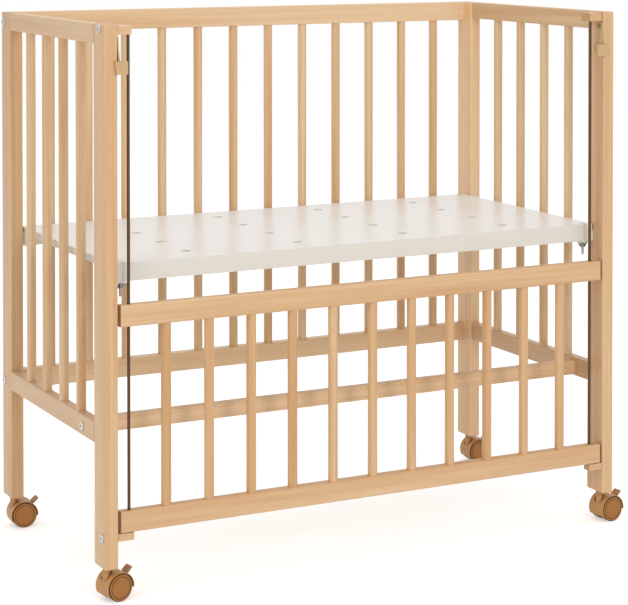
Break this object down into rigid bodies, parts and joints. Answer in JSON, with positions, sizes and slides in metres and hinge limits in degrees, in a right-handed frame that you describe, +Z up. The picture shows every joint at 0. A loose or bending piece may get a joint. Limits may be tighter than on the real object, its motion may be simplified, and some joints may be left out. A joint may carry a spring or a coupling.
{
  "type": "bedside sleeper crib",
  "caption": "Wooden bedside sleeper crib with a drop side on guide rods, spring catches, a vented white deck and braked twin-wheel castors.",
  "frame": {"origin": "on the floor, under the middle of the overall box", "axes": "+X along the crib towards the right-hand end seen from the bedside front, +Y to the closed back, +Z up"},
  "size_m": [0.9846, 0.4964, 0.898],
  "materials": {
    "post_wood": "clear satin lacquer on light hardwood",
    "rail_wood": "clear satin lacquer on light hardwood",
    "dowel_wood": "clear satin lacquer on light hardwood",
    "pin_wood": "bare fluted glue dowels",
    "deck_melamine": "white melamine face, slightly glossy",
    "rod_steel": "drawn steel with a dark brown sheen",
    "bolt_steel": "zinc plated",
    "screw_steel": "zinc plated",
    "barrel_nut_steel": "zinc plated",
    "bracket_steel": "zinc plated sheet",
    "deck_bolt_steel": "zinc plated",
    "wing_nut_zinc": "dull zinc plated casting",
    "catch_plastic": "beige moulded nylon",
    "castor_body_plastic": "tan brown moulded nylon",
    "castor_wheel_plastic": "tan brown moulded nylon",
    "castor_lever_plastic": "tan brown moulded nylon",
    "castor_sleeve_plastic": "brown moulded plastic",
    "castor_steel": "bright steel pin"
  },
  "bodies": {
    "frame": {"back_dowels": "dowel_wood", "back_low_rail": "rail_wood", "back_top_rail": "rail_wood", "barrel_nuts": "barrel_nut_steel", "block_screws": "bolt_steel", "bracket_screws": "bracket_steel", "castor_sleeves": "castor_sleeve_plastic", "castor_stems": "castor_steel", "catch_pivot_screws": "screw_steel", "deck_batten_back": "deck_melamine", "deck_batten_front": "deck_melamine", "deck_board": "deck_melamine", "deck_bolts": "deck_bolt_steel", "deck_brackets": "bracket_steel", "end_dowels": "dowel_wood", "end_low_rail_left": "rail_wood", "end_low_rail_right": "rail_wood", "end_top_rail_left": "rail_wood", "end_top_rail_right": "rail_wood", "front_stretcher": "rail_wood", "guide_block_high_left": "rail_wood", "guide_block_high_right": "rail_wood", "guide_block_low_left": "rail_wood", "guide_block_low_right": "rail_wood", "guide_rods": "rod_steel", "joint_dowels": "pin_wood", "post_back_left": "post_wood", "post_back_right": "post_wood", "post_front_left": "post_wood", "post_front_right": "post_wood", "rail_bolts": "bolt_steel"},
    "drop_side": {"drop_side_dowels": "dowel_wood", "drop_side_low_rail": "rail_wood", "drop_side_top_rail": "rail_wood"},
    "catch_left": {"catch_left": "catch_plastic"},
    "catch_right": {"catch_right": "catch_plastic"},
    "wing_nut_front_left": {"wing_nut_front_left": "wing_nut_zinc"},
    "wing_nut_front_right": {"wing_nut_front_right": "wing_nut_zinc"},
    "wing_nut_back_left": {"wing_nut_back_left": "wing_nut_zinc"},
    "wing_nut_back_right": {"wing_nut_back_right": "wing_nut_zinc"},
    "castor_front_left": {"castor_front_left_body": "castor_body_plastic", "castor_front_left_axle": "castor_steel"},
    "castor_front_left_wheel_front": {"castor_front_left_wheel_front": "castor_wheel_plastic"},
    "castor_front_left_wheel_back": {"castor_front_left_wheel_back": "castor_wheel_plastic"},
    "castor_front_left_brake": {"castor_front_left_brake": "castor_lever_plastic"},
    "castor_front_right": {"castor_front_right_body": "castor_body_plastic", "castor_front_right_axle": "castor_steel"},
    "castor_front_right_wheel_front": {"castor_front_right_wheel_front": "castor_wheel_plastic"},
    "castor_front_right_wheel_back": {"castor_front_right_wheel_back": "castor_wheel_plastic"},
    "castor_front_right_brake": {"castor_front_right_brake": "castor_lever_plastic"},
    "castor_back_left": {"castor_back_left_body": "castor_body_plastic", "castor_back_left_axle": "castor_steel"},
    "castor_back_left_wheel_front": {"castor_back_left_wheel_front": "castor_wheel_plastic"},
    "castor_back_left_wheel_back": {"castor_back_left_wheel_back": "castor_wheel_plastic"},
    "castor_back_left_brake": {"castor_back_left_brake": "castor_lever_plastic"},
    "castor_back_right": {"castor_back_right_body": "castor_body_plastic", "castor_back_right_axle": "castor_steel"},
    "castor_back_right_wheel_front": {"castor_back_right_wheel_front": "castor_wheel_plastic"},
    "castor_back_right_wheel_back": {"castor_back_right_wheel_back": "castor_wheel_plastic"},
    "castor_back_right_brake": {"castor_back_right_brake": "castor_lever_plastic"}
  },
  "joints": [
    {"name": "drop_side_slide", "type": "slide", "parent": "frame", "child": "drop_side", "axis": [0, 0, 1], "range_m": [0, 0.418]},
    {"name": "catch_left_swing", "type": "hinge", "parent": "frame", "child": "catch_left", "pos_m": [-0.46676, -0.23285, 0.8735], "axis": [-1, 0, 0], "range_deg": [0, 14], "stiffness_Nm_per_rad": 0.02},
    {"name": "catch_right_swing", "type": "hinge", "parent": "frame", "child": "catch_right", "pos_m": [0.43624, -0.23285, 0.8735], "axis": [-1, 0, 0], "range_deg": [0, 14], "stiffness_Nm_per_rad": 0.02},
    {"name": "wing_nut_front_left_turn", "type": "hinge", "parent": "frame", "child": "wing_nut_front_left", "pos_m": [-0.45026, -0.20585, 0.488], "axis": [0, 0, 1], "continuous": true},
    {"name": "wing_nut_front_right_turn", "type": "hinge", "parent": "frame", "child": "wing_nut_front_right", "pos_m": [0.41974, -0.20585, 0.488], "axis": [0, 0, 1], "continuous": true},
    {"name": "wing_nut_back_left_turn", "type": "hinge", "parent": "frame", "child": "wing_nut_back_left", "pos_m": [-0.45026, 0.21215, 0.488], "axis": [0, 0, 1], "continuous": true},
    {"name": "wing_nut_back_right_turn", "type": "hinge", "parent": "frame", "child": "wing_nut_back_right", "pos_m": [0.41974, 0.21215, 0.488], "axis": [0, 0, 1], "continuous": true},
    {"name": "castor_front_left_swivel", "type": "hinge", "parent": "frame", "child": "castor_front_left", "pos_m": [-0.47926, -0.21835, 0.054], "axis": [0, 0, 1], "continuous": true},
    {"name": "castor_front_left_wheel_front_roll", "type": "hinge", "parent": "castor_front_left", "child": "castor_front_left_wheel_front", "pos_m": [-0.46399, -0.21566, 0.02175], "axis": [-0.1736, 0.9848, 0], "continuous": true},
    {"name": "castor_front_left_wheel_back_roll", "type": "hinge", "parent": "castor_front_left", "child": "castor_front_left_wheel_back", "pos_m": [-0.46399, -0.21566, 0.02175], "axis": [-0.1736, 0.9848, 0], "continuous": true},
    {"name": "castor_front_left_brake_press", "type": "hinge", "parent": "castor_front_left", "child": "castor_front_left_brake", "pos_m": [-0.45809, -0.21462, 0.036], "axis": [-0.1736, 0.9848, 0], "range_deg": [0, 20]},
    {"name": "castor_front_right_swivel", "type": "hinge", "parent": "frame", "child": "castor_front_right", "pos_m": [0.44874, -0.21835, 0.054], "axis": [0, 0, 1], "continuous": true},
    {"name": "castor_front_right_wheel_front_roll", "type": "hinge", "parent": "castor_front_right", "child": "castor_front_right_wheel_front", "pos_m": [0.46417, -0.21689, 0.02175], "axis": [-0.0941, 0.9956, 0], "continuous": true},
    {"name": "castor_front_right_wheel_back_roll", "type": "hinge", "parent": "castor_front_right", "child": "castor_front_right_wheel_back", "pos_m": [0.46417, -0.21689, 0.02175], "axis": [-0.0941, 0.9956, 0], "continuous": true},
    {"name": "castor_front_right_brake_press", "type": "hinge", "parent": "castor_front_right", "child": "castor_front_right_brake", "pos_m": [0.47014, -0.21633, 0.036], "axis": [-0.0941, 0.9956, 0], "range_deg": [0, 20]},
    {"name": "castor_back_left_swivel", "type": "hinge", "parent": "frame", "child": "castor_back_left", "pos_m": [-0.47926, 0.22465, 0.054], "axis": [0, 0, 1], "continuous": true},
    {"name": "castor_back_left_wheel_front_roll", "type": "hinge", "parent": "castor_back_left", "child": "castor_back_left_wheel_front", "pos_m": [-0.46381, 0.22335, 0.02175], "axis": [0.0837, 0.9965, 0], "continuous": true},
    {"name": "castor_back_left_wheel_back_roll", "type": "hinge", "parent": "castor_back_left", "child": "castor_back_left_wheel_back", "pos_m": [-0.46381, 0.22335, 0.02175], "axis": [0.0837, 0.9965, 0], "continuous": true},
    {"name": "castor_back_left_brake_press", "type": "hinge", "parent": "castor_back_left", "child": "castor_back_left_brake", "pos_m": [-0.45783, 0.22285, 0.036], "axis": [0.0837, 0.9965, 0], "range_deg": [0, 20]},
    {"name": "castor_back_right_swivel", "type": "hinge", "parent": "frame", "child": "castor_back_right", "pos_m": [0.44874, 0.22465, 0.054], "axis": [0, 0, 1], "continuous": true},
    {"name": "castor_back_right_wheel_front_roll", "type": "hinge", "parent": "castor_back_right", "child": "castor_back_right_wheel_front", "pos_m": [0.46424, 0.22424, 0.02175], "axis": [0.0262, 0.9997, 0], "continuous": true},
    {"name": "castor_back_right_wheel_back_roll", "type": "hinge", "parent": "castor_back_right", "child": "castor_back_right_wheel_back", "pos_m": [0.46424, 0.22424, 0.02175], "axis": [0.0262, 0.9997, 0], "continuous": true},
    {"name": "castor_back_right_brake_press", "type": "hinge", "parent": "castor_back_right", "child": "castor_back_right_brake", "pos_m": [0.47023, 0.22409, 0.036], "axis": [0.0262, 0.9997, 0], "range_deg": [0, 20]}
  ]
}
